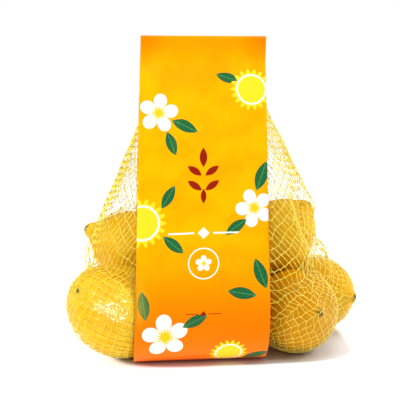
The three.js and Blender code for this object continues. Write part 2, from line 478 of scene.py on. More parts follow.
def hull_radii(y, z, angles):
    """Radius, about the axis, of the hull of some points of one section, at each angle from the top."""
    points = sorted(set(zip(np.round(y, 5), np.round(z, 5))))
    chain = []
    for sweep in (points, points[::-1]):
        part = []
        for point in sweep:
            while len(part) > 1 and (
                    (part[-1][0] - part[-2][0]) * (point[1] - part[-2][1])
                    <= (part[-1][1] - part[-2][1]) * (point[0] - part[-2][0])):
                part.pop()
            part.append(point)
        chain += part[:-1]
    hull = np.array(chain) - (0, FILM_AXIS_Z)
    turn = np.arctan2(-hull[:, 0], hull[:, 1]) % (2 * math.pi)
    order = np.argsort(turn)
    hull = hull[order]
    turn = turn[order]
    turn = np.concatenate((turn[-1:] - 2 * math.pi, turn, turn[:1] + 2 * math.pi))
    hull = np.concatenate((hull[-1:], hull, hull[:1]))
    after = np.clip(np.searchsorted(turn, angles, side="right"), 1, len(turn) - 1)
    start = hull[after - 1]
    step = hull[after] - start
    ray = np.stack((-np.sin(angles), np.cos(angles)), 1)
    cross = ray[:, 0] * step[:, 1] - ray[:, 1] * step[:, 0]
    cross = np.where(abs(cross) < 1e-12, 1e-12, cross)
    return (start[:, 0] * step[:, 1] - start[:, 1] * step[:, 0]) / cross


def smoothed(values, axis, passes, wrap=False):
    """Averages values with those beside them along one axis, which may be a closed round."""
    beside = [(0, 0)] * values.ndim
    beside[axis] = (1, 1)
    count = values.shape[axis]
    for _ in range(passes):
        padded = np.pad(values, beside, mode="wrap" if wrap else "edge")
        low = padded.take(range(count), axis)
        high = padded.take(range(2, count + 2), axis)
        values = (low + 2 * values + high) / 4
    return values


def film_sections(forms):
    """Radius of the film about its axis, for each column across the band and each angle from the top."""
    angles = np.linspace(0, 2 * math.pi, FILM_ANGLES, endpoint=False)
    cloud = forms.cloud(120, 120)
    across = across_band(cloud)

    def section(chosen):
        return hull_radii(
            np.append(cloud[chosen, 1], 0.0), np.append(cloud[chosen, 2], WELD_FOOT), angles)

    whole = section(abs(across) < 1)
    columns = np.linspace(-1, 1, FILM_COLUMNS)
    free = np.array([section(abs(across - column) < COLUMN_REACH) for column in columns])
    share = FREE_SHARE * np.clip(np.cos(angles) + 0.75, 0, 1)
    radii = whole + (smoothed(free, 0, 20) - whole) * share + FILM_CLEARANCE
    lowest = (FILM_AXIS_Z - FILM_FLOOR) / np.maximum(-np.cos(angles), 1e-6)
    radii = np.minimum(smoothed(radii, 1, 6, wrap=True), np.where(np.cos(angles) < 0, lowest, 1.0))
    return columns, angles, radii


def film_points(columns, angles, radii):
    """Rows of points along the band: down the front, under the bag and up the back to the weld."""
    sheet = np.empty((FILM_ROWS, FILM_COLUMNS, 3))
    lengths = []
    for index, radius in enumerate(radii):
        y = -np.sin(angles) * radius
        z = FILM_AXIS_Z + np.cos(angles) * radius
        keep = z < WELD_FOOT - 0.003
        y = np.concatenate(((-WELD_HALF_THICKNESS,) * 2, y[keep], (WELD_HALF_THICKNESS,) * 2))
        z = np.concatenate(((BAND_HEIGHT, WELD_FOOT), z[keep], (WELD_FOOT, BAND_HEIGHT)))
        run = np.concatenate(((0,), np.cumsum(np.hypot(np.diff(y), np.diff(z)))))
        places = np.linspace(0, run[-1], FILM_ROWS)
        sheet[:, index, 1] = np.interp(places, run, y)
        sheet[:, index, 2] = np.interp(places, run, z)
        lengths.append(run[-1])
    narrowing = 1 - BACK_NARROWING * np.clip(sheet[:, :, 1], 0, None)
    sheet[:, :, 0] = band_middle(sheet[:, :, 2]) + columns * band_half_width(sheet[:, :, 2]) * narrowing
    from_end = np.minimum(np.arange(FILM_ROWS), np.arange(FILM_ROWS)[::-1])
    share = np.clip(from_end / END_ROWS, 0, 1)[:, None, None]
    sheet[:, :, 1:] += (smoothed(sheet[:, :, 1:], 0, SMOOTH_ROWS) - sheet[:, :, 1:]) * share
    return sheet, float(np.mean(lengths))


def sheet_normals(sheet):
    down = np.gradient(sheet, axis=0)
    across = np.gradient(sheet, axis=1)
    normals = np.cross(across, down)
    normals /= np.linalg.norm(normals, axis=-1, keepdims=True)
    return -normals if normals[FILM_ROWS // 4, FILM_COLUMNS // 2, 1] > 0 else normals


def crease(across, along, start, end, width, height):
    """A soft ridge between two places on the flat film, fading out at both ends."""
    line = np.array(end) - start
    length = np.hypot(*line)
    line /= length
    run = (across - start[0]) * line[0] + (along - start[1]) * line[1]
    away = (across - start[0]) * -line[1] + (along - start[1]) * line[0]
    fade = np.clip(run / length, 0, 1) * np.clip(1 - run / length, 0, 1) * 4
    return height * fade ** 0.7 * np.exp(-((away / width) ** 2))


def wrinkled(sheet, length):
    """The film with its slack: soft folds that run down from the weld and a few creases by the belly."""
    along = np.linspace(0, length, FILM_ROWS)[:, None] + np.zeros(FILM_COLUMNS)
    across = np.linspace(-BAND_WIDTH / 2, BAND_WIDTH / 2, FILM_COLUMNS) + np.zeros((FILM_ROWS, 1))
    lift = np.zeros_like(along)
    draw = random.Random(FOLD_SEED)
    for panel in (along, length - along):
        for _ in range(FOLDS):
            side = draw.uniform(-0.046, 0.046)
            start = (side, draw.uniform(0.012, 0.03))
            end = (side + draw.uniform(-0.02, 0.02), draw.uniform(0.06, 0.15))
            height = draw.choice((-1, 1)) * draw.uniform(0.0003, 0.0009)
            lift += crease(across, panel, start, end, draw.uniform(0.003, 0.009), height)
        for _ in range(CREASES):
            start = (draw.uniform(-0.04, 0.04), draw.uniform(0.08, 0.2))
            end = (start[0] + draw.uniform(-0.03, 0.03), start[1] + draw.uniform(0.02, 0.05))
            height = draw.choice((-1, 1)) * draw.uniform(0.00015, 0.0004)
            lift += crease(across, panel, start, end, draw.uniform(0.002, 0.005), height)
    above_floor = np.clip((sheet[:, :, 2] - 0.006) / 0.012, 0, 1)
    below_weld = np.clip((WELD_FOOT - sheet[:, :, 2]) / 0.012, 0.03, 1)
    return sheet + (lift * above_floor * below_weld)[..., None] * sheet_normals(sheet)


def model_film(forms):
    """The band as one strip, laid out flat as a grid, then bent into its loop and given its thickness."""
    columns, angles, radii = film_sections(forms)
    sheet, length = film_points(columns, angles, radii)
    sheet = wrinkled(sheet, length)
    deselect_all()
    bpy.ops.mesh.primitive_grid_add(x_subdivisions=FILM_COLUMNS - 1, y_subdivisions=FILM_ROWS - 1, size=1)
    piece = bpy.context.active_object
    piece.name = "printed_band"
    flat = mesh_points(piece)
    column = np.rint((flat[:, 0] + 0.5) * (FILM_COLUMNS - 1)).astype(int)
    row = np.rint((0.5 - flat[:, 1]) * (FILM_ROWS - 1)).astype(int)
    piece.data.vertices.foreach_set("co", to_frame(sheet[row, column]).astype(np.float32).ravel())
    lay_print_map(piece, length)
    thickness = piece.modifiers.new("thickness", "SOLIDIFY")
    thickness.thickness = FILM_THICKNESS
    thickness.offset = 0
    finish_modifiers(piece)
    bpy.ops.object.shade_smooth()
    return piece, (columns, angles, radii), length


def lay_print_map(piece, length):
    """Rescales the grid's own map so that a unit of it is the band's whole length both ways."""
    layer = piece.data.uv_layers.active.data
    places = np.empty(len(layer) * 2, np.float32)
    layer.foreach_get("uv", places)
    places = places.reshape(-1, 2)
    places[:, 0] *= BAND_WIDTH / length
    layer.foreach_set("uv", places.ravel())


# ---------------------------------------------------------------- net

def film_room(sections):
    """Makes what holds the net inside the film: by its depth above FILM_AXIS_Z, and radially below it."""
    _, angles, radii = sections
    heights = np.linspace(FILM_AXIS_Z, WELD_FOOT, ROOM_LEVELS)
    front_top = angles < math.pi / 2
    back_top = angles > math.pi * 1.5
    z = FILM_AXIS_Z + np.cos(angles) * radii
    y = np.sin(angles) * radii
    front = np.array([
        np.interp(heights, up[front_top][::-1], out[front_top][::-1]) for up, out in zip(z, y)])
    back = np.array([
        np.interp(heights, up[back_top], -out[back_top]) for up, out in zip(z, y)])

    def between(table, column, row):
        c0 = column.astype(int)
        r0 = row.astype(int)
        r1 = (r0 + 1) % table.shape[1]
        u = column - c0
        v = row - r0
        return ((table[c0, r0] * (1 - u) + table[c0 + 1, r0] * u) * (1 - v)
                + (table[c0, r1] * (1 - u) + table[c0 + 1, r1] * u) * v)

    def hold_in(points):
        across = across_band(points)
        column = np.clip((across + 1) / 2 * (FILM_COLUMNS - 1), 0, FILM_COLUMNS - 1.001)
        y = points[..., 1]
        z = points[..., 2] - FILM_AXIS_Z
        covered = abs(across) < 1.02
        turn = (np.arctan2(-y, z) % (2 * math.pi)) / (2 * math.pi) * FILM_ANGLES
        limit = between(radii, column, np.minimum(turn, FILM_ANGLES - 1e-6)) - LOWER_ROOM
        radius = np.hypot(y, z)
        scale = np.where(covered & (z < 0) & (radius > limit), limit / np.maximum(radius, 1e-6), 1)
        held = points.copy()
        held[..., 1] = y * scale
        held[..., 2] = FILM_AXIS_Z + z * scale
        row = np.interp(points[..., 2], heights, np.arange(ROOM_LEVELS))
        row = np.clip(row, 0, ROOM_LEVELS - 1.001)
        nearest = np.minimum(UPPER_ROOM - between(front, column, row), 0)
        farthest = np.maximum(between(back, column, row) - UPPER_ROOM, 0)
        inner = np.clip(held[..., 1], nearest, farthest)
        held[..., 1] = np.where(covered & (z >= 0), inner, held[..., 1])
        return held

    return hold_in


class TautHull:
    """The flat faces that a taut skin would have between the weld and the lemons that hold it out."""

    def __init__(self, forms):
        ends = [(side * NET_TOP_HALF_WIDTH + band_middle(NET_TOP), 0.0, NET_TOP) for side in (-1, 1)]
        hull = bmesh.new()
        for point in np.concatenate((forms.cloud(14, 11), ends)):
            hull.verts.new(point)
        bmesh.ops.convex_hull(hull, input=hull.verts)
        bmesh.ops.recalc_face_normals(hull, faces=hull.faces)
        faces = [face for face in hull.faces if face.calc_area() > 2e-6]
        self.normals = np.array([face.normal for face in faces])
        self.levels = np.array([face.normal.dot(face.verts[0].co) for face in faces])
        hull.free()

    def section(self, height, angles):
        """Distance from the bag's upright axis to the skin, at one height, in each direction."""
        rays = np.stack((np.cos(angles), np.sin(angles), 0 * angles), -1)
        closing = rays @ self.normals.T
        left = self.levels - self.normals @ (NET_AXIS_X, 0, height)
        return np.min(np.where(closing > 1e-3, left / np.maximum(closing, 1e-3), 1.0), axis=-1)

    def hold_out(self, points):
        """Moves points beside the band that sink too far below the skin back out."""
        beside = abs(across_band(points)) > 1
        reach = points @ self.normals.T - self.levels
        nearest = np.argmax(reach, axis=-1)
        depth = -np.take_along_axis(reach, nearest[..., None], -1)
        share = np.clip((points[..., 2:] - TAUT_FOOT) / (TAUT_TOP - TAUT_FOOT), 0, 1)
        allowed = TAUT_FOOT_SAG + (TAUT_SAG - TAUT_FOOT_SAG) * share
        return points + np.maximum(depth - allowed, 0) * beside[..., None] * self.normals[nearest]


def zigzag(turn):
    """Goes evenly from 1 to -1 and back as the turn goes round."""
    return 2 * abs((turn % 1) * 2 - 1) - 1


def row_places(heights, girths, side_run, floor_run):
    """How far down the skin each row of knots lies, when every leg has its full length."""
    floor_places = side_run[-1] + floor_run * np.linspace(0.05, 1, FLOOR_STEPS)
    run = np.concatenate((side_run, floor_places))
    girth = np.concatenate((girths, np.linspace(girths[-1], 4 * NET_FOOT_HALF_WIDTH, FLOOR_STEPS)))
    height = np.concatenate((heights, np.full(FLOOR_STEPS, heights[-1])))
    leg = np.interp(height, (0.045, 0.085), (LOWER_LEG, UPPER_LEG))
    half_cell = np.minimum(girth / NET_COLUMNS / 2, leg * 0.93)
    pitch = np.sqrt(leg ** 2 - half_cell ** 2)
    count = np.concatenate(((0,), np.cumsum(np.diff(run) * 2 / (pitch[1:] + pitch[:-1]))))
    return np.interp(np.linspace(0, count[-1], NET_ROWS + 1), count, run)


def first_net(hull):
    """The knots spread evenly over a taut skin round the bag, then gathered in along the floor."""
    angles = np.linspace(0, 2 * math.pi, SKIN_STEPS // 2 + 1)
    heights = np.linspace(NET_TOP, NET_TURN, SKIN_LEVELS)
    reaches = np.array([hull.section(height, angles) for height in heights])
    waist = np.clip((heights - PINCH_FOOT) / (NET_TOP - PINCH_FOOT), 0, 1)
    reaches *= 1 - NET_PINCH * np.outer(np.sin(math.pi * waist), (1 - np.cos(angles)) / 2)
    rings = np.stack((NET_AXIS_X + reaches * np.cos(angles), reaches * np.sin(angles)), -1)
    steps = np.linalg.norm(np.diff(rings, axis=1), axis=-1)
    runs = np.concatenate((np.zeros((SKIN_LEVELS, 1)), np.cumsum(steps, axis=1)), axis=1)
    slope = np.hypot(np.diff(reaches.mean(axis=1)), np.diff(heights))
    side_run = np.concatenate(((0,), np.cumsum(slope)))
    floor_run = reaches[-1].mean() - NET_FOOT_HALF_WIDTH / 2
    turns = np.linspace(0, 1, SKIN_STEPS + 1)
    table = np.empty((SKIN_LEVELS, SKIN_STEPS + 1, 2))
    for level in range(SKIN_LEVELS):
        for axis in (0, 1):
            table[level, :, axis] = np.interp(turns * runs[level, -1], runs[level], rings[level, :, axis])
    knots = np.zeros((NET_ROWS + 1, NET_COLUMNS, 3))
    for row, down in enumerate(row_places(heights, runs[:, -1], side_run, floor_run)):
        turn = (np.arange(NET_COLUMNS) + 0.5 * (row % 2)) / NET_COLUMNS
        fan = NET_FAN * math.sin(math.pi * min(row / (FAN_SHARE * NET_ROWS), 1) ** 0.6)
        sweep = NET_SWEEP * max(2.2 * row / NET_ROWS - 1.2, 0)
        turn = turn + (fan + sweep) * np.sin(4 * math.pi * turn)
        droop = NET_DROOP * math.sin(math.pi * row / NET_ROWS) * abs(np.cos(2 * math.pi * turn)) ** 1.5
        reached = down + droop
        level = np.clip(np.interp(reached, side_run, np.arange(SKIN_LEVELS)), 0, SKIN_LEVELS - 1.001)
        low = level.astype(int)
        column = np.rint(turn * SKIN_STEPS).astype(int)
        step = table[low + 1, column] - table[low, column]
        places = table[low, column] + step * (level - low)[:, None]
        side = np.sign(np.sin(2 * math.pi * turn + 1e-3))
        foot = np.stack((
            NET_FOOT_MIDDLE + NET_FOOT_HALF_WIDTH * zigzag(turn), NET_FOOT_Y + 0.0006 * side), -1)
        inward = np.clip((reached - side_run[-1]) / floor_run, 0, 1)
        knots[row, :, :2] = places + (foot - places) * inward[:, None]
        height = np.interp(reached, side_run, heights)
        knots[row, :, 2] = NET_FOOT_Z + (height - NET_FOOT_Z) * np.clip(1 - 4 * inward, 0, 1)
    turn = np.arange(NET_COLUMNS) / NET_COLUMNS
    knots[0, :, 0] = NET_TOP_HALF_WIDTH * zigzag(turn) + band_middle(NET_TOP)
    knots[0, :, 1] = 0.0005 * np.sign(np.sin(2 * math.pi * turn + 1e-3))
    return knots


def children(knots):
    """For each knot of every row but the last, the two knots below it, to its left and right."""
    below = knots[1:]
    odd = (np.arange(NET_ROWS) % 2 == 1)[:, None, None]
    right = np.where(odd, np.roll(below, -1, axis=1), below)
    left = np.where(odd, below, np.roll(below, 1, axis=1))
    return left, right


def gather(left_pull, right_pull):
    """Sums what the legs do to the knots below them."""
    odd = (np.arange(NET_ROWS) % 2 == 1)[:, None, None]
    from_right = np.where(odd, np.roll(right_pull, 1, axis=1), right_pull)
    from_left = np.where(odd, left_pull, np.roll(left_pull, -1, axis=1))
    return from_left + from_right


def net_unevenness(draw):
    """Shifts of whole patches of the net, none at the weld and the foot."""
    shifts = draw.normal(0, 1, (NET_ROWS - 1, NET_COLUMNS, 3))
    for axis in (0, 1):
        shifts = smoothed(shifts, axis, 4, wrap=True)
    fading = np.minimum(np.arange(1, NET_ROWS), np.arange(1, NET_ROWS)[::-1])[:, None, None]
    return shifts * NET_PATCHINESS / shifts.std() * np.clip(fading / 8, 0, 1) * (1, 1, 0.8)


def pull_net(forms, hold_in):
    """Lets the legs, all a little different, settle over the lemons, under the film and on the floor."""
    hull = TautHull(forms)
    draw = np.random.default_rng(NET_SEED)
    knots = first_net(hull)
    knots[1:-1] = hold_in(knots[1:-1] + net_unevenness(draw))
    anchors = knots[1:-1].copy()
    left, right = children(knots)
    rests = []
    for ends in (left, right):
        uneven = 1 + LEG_UNEVENNESS * draw.uniform(-1, 1, (NET_ROWS, NET_COLUMNS, 1))
        far = np.linalg.norm(ends - knots[:-1], axis=-1, keepdims=True)
        rests.append(far * LEG_REST * uneven)
    speed = np.zeros_like(anchors)
    for _ in range(PULL_STEPS):
        force = np.zeros_like(knots)
        pulls = []
        for ends, rest in zip(children(knots), rests):
            step = ends - knots[:-1]
            far = np.linalg.norm(step, axis=-1, keepdims=True)
            pulls.append(step * (1 - rest / np.maximum(far, 1e-6)))
        force[:-1] += pulls[0] + pulls[1]
        force[1:] -= gather(*pulls)
        stride = speed * STRIDE_KEPT + force[1:-1] * STRIDE_SHARE + (anchors - knots[1:-1]) * ANCHOR_SHARE
        moved = forms.draw_in(knots[1:-1] + stride, CLING_REACH, CLING_SHARE)
        moved = hull.hold_out(forms.push_out(moved, NET_CLEARANCE))
        moved = hold_in(moved)
        moved[..., 2] = np.maximum(moved[..., 2], NET_FOOT_Z)
        speed = moved - knots[1:-1]
        knots[1:-1] = moved
    return knots


def unit(vectors):
    return vectors / np.maximum(np.linalg.norm(vectors, axis=-1, keepdims=True), 1e-9)


def knot_normals(knots):
    """At each knot, the direction out of the net."""
    left, right = children(knots)
    down = np.zeros_like(knots)
    down[:-1] += (left + right) / 2 - knots[:-1]
    down[1:] += knots[1:] - gather(knots[:-1], knots[:-1]) / 2
    sideways = np.roll(knots, -1, axis=1) - np.roll(knots, 1, axis=1)
    out = unit(np.cross(unit(down), sideways))
    flip = np.sum(out * (knots - np.array(BAG_MIDDLE)), axis=-1, keepdims=True) < 0
    return np.where(flip, -out, out)


def eyelets(knots, out):
    """At each knot, half the eyelet across and half of it down the net."""
    aside = (np.roll(knots, -1, axis=1) - np.roll(knots, 1, axis=1)) / 2
    width = np.linalg.norm(aside, axis=-1, keepdims=True)
    half = np.minimum(width * EYELET_SHARE, EYELET_LONGEST)
    across = aside / np.maximum(width, 1e-9)
    return across * half, unit(np.cross(out, across)) * half * EYELET_ROUNDNESS


def leg_threads(knots, out, halves, forms):
    """Two threads for each leg, from the corner of one eyelet to that of the next, crossing half way."""
    left, right = children(knots)
    half_left, half_right = children(halves)
    out_left, out_right = children(out)
    threads = []
    for below, half_below, out_below, hand in (
            (left, half_left, out_left, -1), (right, half_right, out_right, 1)):
        start = knots[:-1] + halves[:-1] * hand
        end = below - half_below * hand
        normal = unit(out[:-1] + out_below)
        across = unit(np.cross(normal, end - start))
        for side in (-1, 1):
            path = []
            for place, spread, lift in ((-0.04, 0.7, 0), (0.5, 0, 1), (1.04, -0.7, 0)):
                swing = (across * spread + normal * lift * 0.7) * side * THREAD_RADIUS
                path.append(start + (end - start) * place + swing)
            points = np.stack(path, -2)
            threads.append((forms.push_out(points, THREAD_RADIUS * THREAD_LIFT), normal))
    return threads


def tube_faces(count, steps, sides, closed=False):
    """Faces of many tubes whose rings of points follow each other, each tube perhaps back to its start."""
    tube = np.arange(count)[:, None, None] * steps * sides
    ring = np.arange(steps if closed else steps - 1)[None, :, None]
    after = (ring + 1) % steps
    side = np.arange(sides)[None, None, :]
    turn = (side + 1) % sides
    here = tube + ring * sides
    there = tube + after * sides
    return np.stack((here + side, here + turn, there + turn, there + side), -1).reshape(-1, 4)


def thread_tubes(paths, normals, closed=False):
    """Rings of points round each path; a path that isn't closed narrows at both ends."""
    radius = np.full(paths.shape[-2], THREAD_RADIUS)
    if closed:
        forward = unit(np.roll(paths, -1, axis=-2) - np.roll(paths, 1, axis=-2))
    else:
        forward = unit(np.gradient(paths, axis=-2))
        radius[[0, -1]] *= THREAD_END
    side = unit(np.cross(normals[..., None, :], forward))
    up = np.cross(forward, side)
    turns = (np.arange(THREAD_SIDES) + 0.5) * 2 * math.pi / THREAD_SIDES
    ring = np.cos(turns)[:, None] * side[..., None, :] + np.sin(turns)[:, None] * up[..., None, :]
    return paths[..., None, :] + ring * radius[:, None, None]


def eyelet_threads(knots, out, halves, heights):
    """A small loop at each knot, a little proud of the net, where four legs meet."""
    turns = np.arange(EYELET_STEPS) * 2 * math.pi / EYELET_STEPS
    around = halves[..., None, :] * np.cos(turns)[:, None] + heights[..., None, :] * np.sin(turns)[:, None]
    proud = out[..., None, :] * (THREAD_RADIUS * (0.6 + 0.5 * np.cos(2 * turns)))[:, None]
    return knots[..., None, :] + around + proud


def model_net(forms, hold_in):
    """The knitted net in four panels: the two open sides, and the parts under the film."""
    knots = pull_net(forms, hold_in)
    out = knot_normals(knots)
    halves, heights = eyelets(knots, out)
    tubes = [(paths, normals, False) for paths, normals in leg_threads(knots, out, halves, forms)]
    inner = slice(1, NET_ROWS)
    loops = eyelet_threads(knots[inner], out[inner], halves[inner], heights[inner])
    tubes.append((forms.push_out(loops, THREAD_RADIUS * THREAD_LIFT), out[inner], True))
    quarter = ((np.arange(NET_COLUMNS) + NET_COLUMNS / 8) // (NET_COLUMNS / 4)) % 4
    panels = []
    for index, name in enumerate(("net_right", "net_back", "net_left", "net_front")):
        mine = quarter == index
        points = []
        faces = []
        total = 0
        for paths, normals, closed in tubes:
            steps = paths.shape[-2]
            rings = thread_tubes(
                paths[:, mine].reshape(-1, steps, 3), normals[:, mine].reshape(-1, 3), closed)
            faces.append(tube_faces(len(rings), steps, THREAD_SIDES, closed) + total)
            points.append(rings.reshape(-1, 3))
            total += len(points[-1])
        panel = mesh_piece(name, to_frame(np.concatenate(points)), np.concatenate(faces))
        choose(panel)
        bpy.ops.object.shade_smooth()
        panels.append(panel)
    return panels


# ---------------------------------------------------------------- finishes

def fill(node, values):
    """Sets sockets of a node to plain numbers or colours."""
    for name, value in values.items():
        node.inputs[name].default_value = value


def new_finish(name, values):
    """A new material, its node tree and its shader, with what is the same all over the surface."""
    finish = bpy.data.materials.new(name)
    finish.use_nodes = True
    shader = finish.node_tree.nodes["Principled BSDF"]
    fill(shader, values)
    return finish, finish.node_tree, shader


def dress(piece, finish):
    piece.data.materials.clear()
    piece.data.materials.append(finish)
    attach(piece, "root")


def connect(tree, sockets, values):
    """Gives each socket its value, which is another socket or plain numbers."""
    for socket, value in zip(sockets, values):
        if isinstance(value, (int, float, tuple)):
            socket.default_value = value
        else:
            tree.links.new(value, socket)


def calc(tree, operation, *values, clamp=False):
    """One sum on sockets or plain numbers."""
    node = tree.nodes.new("ShaderNodeMath")
    node.operation = operation
    node.use_clamp = clamp
    connect(tree, node.inputs, values)
    return node.outputs["Value"]


def vector_calc(tree, operation, *values):
    """The same for vectors."""
    node = tree.nodes.new("ShaderNodeVectorMath")
    node.operation = operation
    connect(tree, node.inputs, values)
    return node.outputs["Value" if operation == "LENGTH" else "Vector"]


def apart(tree, value, place):
    """How far a value is from a place."""
    return calc(tree, "ABSOLUTE", calc(tree, "SUBTRACT", value, place))


def split_place(tree, place):
    """The first two parts of a place."""
    node = tree.nodes.new("ShaderNodeSeparateXYZ")
    tree.links.new(place, node.inputs["Vector"])
    return node.outputs["X"], node.outputs["Y"]


def object_place(tree):
    return tree.nodes.new("ShaderNodeTexCoord").outputs["Object"]


def stored(tree, name):
    """A value that the mesh itself carries."""
    node = tree.nodes.new("ShaderNodeAttribute")
    node.attribute_name = name
    return node.outputs["Fac"]


def noise(tree, place, scale, detail=3, roughness=0.5):
    node = tree.nodes.new("ShaderNodeTexNoise")
    fill(node, {"Scale": scale, "Detail": detail, "Roughness": roughness})
    tree.links.new(place, node.inputs["Vector"])
    return node.outputs["Fac"]


def fade(tree, value, start, end, low=0, high=1):
    """Carries a value softly from one range to another, level outside it."""
    node = tree.nodes.new("ShaderNodeMapRange")
    node.interpolation_type = "SMOOTHSTEP"
    fill(node, {"From Min": start, "From Max": end, "To Min": low, "To Max": high})
    tree.links.new(value, node.inputs["Value"])
    return node.outputs["Result"]


def blend(tree, share, first, second):
    """Mixes two colours, each a socket or a plain colour."""
    node = tree.nodes.new("ShaderNodeMix")
    node.data_type = "RGBA"
    tree.links.new(share, node.inputs["Factor"])
    for socket, colour in ((node.inputs[6], first), (node.inputs[7], second)):
        if isinstance(colour, tuple):
            socket.default_value = (*colour, 1)
        else:
            tree.links.new(colour, socket)
    return node.outputs[2]


def emboss(tree, shader, height, depth, strength):
    bump = tree.nodes.new("ShaderNodeBump")
    fill(bump, {"Strength": strength, "Distance": depth})
    tree.links.new(height, bump.inputs["Height"])
    tree.links.new(bump.outputs["Normal"], shader.inputs["Normal"])


def peel_finish():
    """Waxy lemon peel: mottled yellow, oil glands, and a green-brown tinge at both ends."""
    finish, tree, shader = new_finish("lemon_peel", {
        "Roughness": 0.36, "Specular IOR Level": 0.12, "Specular Tint": (1.0, 0.95, 0.70, 1),
        "Subsurface Weight": 0.12, "Subsurface Radius": (1.0, 0.5, 0.08), "Subsurface Scale": 0.003})
    place = object_place(tree)
    colour = blend(tree, fade(tree, noise(tree, place, 28, 2), 0.35, 0.68), PEEL_DEEP, PEEL_PALE)
    # Painted shade, along with riper peel: the stored value turns the peel golden and darker on the lemons
    # right of the band and inside it.
    colour = blend(tree, stored(tree, "ripeness"), colour, PEEL_GOLDEN_AND_SHADE)
    freckle = fade(tree, noise(tree, place, 260, 4, 0.6), 0.56, 0.74, 0, 0.45)
    colour = blend(tree, freckle, colour, PEEL_FRECKLE)
    along = stored(tree, "along")
    uneven = calc(tree, "MULTIPLY_ADD", noise(tree, place, 420, 2), 0.0022, stored(tree, "aside"))
    for start, full, outer, inner, strength, tinge in PEEL_ENDS:
        reached = fade(tree, along, start, full)
        cover = calc(tree, "MULTIPLY", reached, fade(tree, uneven, outer, inner, 0, strength))
        colour = blend(tree, cover, colour, tinge)
    tree.links.new(colour, shader.inputs["Base Color"])
    glands = tree.nodes.new("ShaderNodeTexVoronoi")
    glands.feature = "SMOOTH_F1"
    fill(glands, {"Scale": 520, "Smoothness": 0.5})
    tree.links.new(place, glands.inputs["Vector"])
    pits = calc(tree, "MULTIPLY", glands.outputs["Distance"], 0.7)
    relief = calc(tree, "ADD", pits, calc(tree, "MULTIPLY", noise(tree, place, 180, 3), 0.8))
    emboss(tree, shader, relief, 0.0008, 1.0)
    gloss = fade(tree, noise(tree, place, 90, 2), 0.3, 0.7, 0.15, 0.27)
    tree.links.new(gloss, shader.inputs["Roughness"])
    return finish


def thread_finish():
    """Pale gold plastic thread."""
    finish, tree, shader = new_finish("net_thread", {
        "Roughness": 0.34, "Specular IOR Level": 0.15, "Specular Tint": (1.0, 0.85, 0.40, 1),
        "Subsurface Weight": 0.8, "Subsurface Radius": (1.0, 0.9, 0.6), "Subsurface Scale": 0.0004})
    place = object_place(tree)
    colour = blend(tree, fade(tree, noise(tree, place, 140, 2), 0.35, 0.65), THREAD_DEEP, THREAD_PALE)
    tree.links.new(colour, shader.inputs["Base Color"])
    emboss(tree, shader, noise(tree, place, 2600, 2), 0.0001, 0.5)
    return finish


def shape_group(draw):
    """A node group that turns a place in a shape's own measure into its colour and its cover."""
    group = bpy.data.node_groups.new(draw.__name__, "ShaderNodeTree")
    for name, way, kind in (
            ("Place", "INPUT", "Vector"), ("First", "INPUT", "Color"), ("Second", "INPUT", "Color"),
            ("Colour", "OUTPUT", "Color"), ("Cover", "OUTPUT", "Float")):
        group.interface.new_socket(name, in_out=way, socket_type="NodeSocket" + kind)
    given = group.nodes.new("NodeGroupInput").outputs
    result = group.nodes.new("NodeGroupOutput").inputs
    x, y = split_place(group, given["Place"])
    colour, cover = draw(group, x, y, given["First"], given["Second"])
    group.links.new(colour, result["Colour"])
    group.links.new(cover, result["Cover"])
    return group


def polar(tree, x, y):
    far = calc(tree, "SQRT", calc(tree, "ADD", calc(tree, "MULTIPLY", x, x), calc(tree, "MULTIPLY", y, y)))
    return far, calc(tree, "ARCTAN2", y, x)


def inked(tree, inside, sharpness=45):
    """Full ink where a value is above nothing, with a thin soft edge."""
    return calc(tree, "MULTIPLY", inside, sharpness, clamp=True)


def draw_blossom(tree, x, y, petals, heart):
    """Five round petals about a heart with a ring of stamens."""
    far, turn = polar(tree, x, y)
    wave = calc(tree, "ABSOLUTE", calc(tree, "COSINE", calc(tree, "MULTIPLY", turn, 2.5)))
    edge = calc(tree, "MULTIPLY_ADD", calc(tree, "POWER", wave, 0.55), 0.62, 0.38)
    cover = inked(tree, calc(tree, "SUBTRACT", edge, far))
    shade = calc(tree, "MULTIPLY", fade(tree, wave, 0.45, 0.0), fade(tree, far, 1.0, 0.2, 0.1, 0.55))
    colour = blend(tree, shade, petals, heart)
    rays = calc(tree, "COSINE", calc(tree, "MULTIPLY", turn, 15))
    stamens = calc(tree, "SUBTRACT", calc(tree, "MULTIPLY_ADD", rays, 0.09, 0.30), far)
    colour = blend(tree, inked(tree, stamens, 30), colour, heart)
    return colour, cover


def draw_leaf(tree, x, y, green, vein):
    """A pointed leaf along x, with a rib and slanting veins."""
    side = calc(tree, "ABSOLUTE", y)
    bow = calc(tree, "SUBTRACT", 1.0, calc(tree, "MULTIPLY", x, x))
    cover = inked(tree, calc(tree, "SUBTRACT", calc(tree, "MULTIPLY", bow, 0.40), side))
    slant = calc(tree, "SUBTRACT", x, calc(tree, "MULTIPLY", side, 1.3))
    wave = calc(tree, "SINE", calc(tree, "MULTIPLY", slant, 19))
    lines = calc(tree, "MULTIPLY", fade(tree, wave, 0.86, 1.0), 0.65)
    rib = inked(tree, calc(tree, "SUBTRACT", 0.035, side), 60)
    colour = blend(tree, calc(tree, "MAXIMUM", lines, rib), green, vein)
    return colour, cover


def draw_sun(tree, x, y, body, rim):
    """A round disc with a pale rim and a circle of short rays."""
    far, turn = polar(tree, x, y)
    rays = calc(tree, "ABSOLUTE", calc(tree, "COSINE", calc(tree, "MULTIPLY", turn, 9)))
    edge = calc(tree, "MULTIPLY_ADD", calc(tree, "POWER", rays, 1.6), 0.24, 0.76)
    cover = inked(tree, calc(tree, "SUBTRACT", edge, far))
    ring = inked(tree, calc(tree, "SUBTRACT", 0.05, apart(tree, far, 0.68)))
    colour = blend(tree, ring, body, rim)
    return colour, cover


def draw_ring(tree, x, y, ink, _):
    far = polar(tree, x, y)[0]
    return ink, inked(tree, calc(tree, "SUBTRACT", 0.045, apart(tree, far, 0.95)), 60)


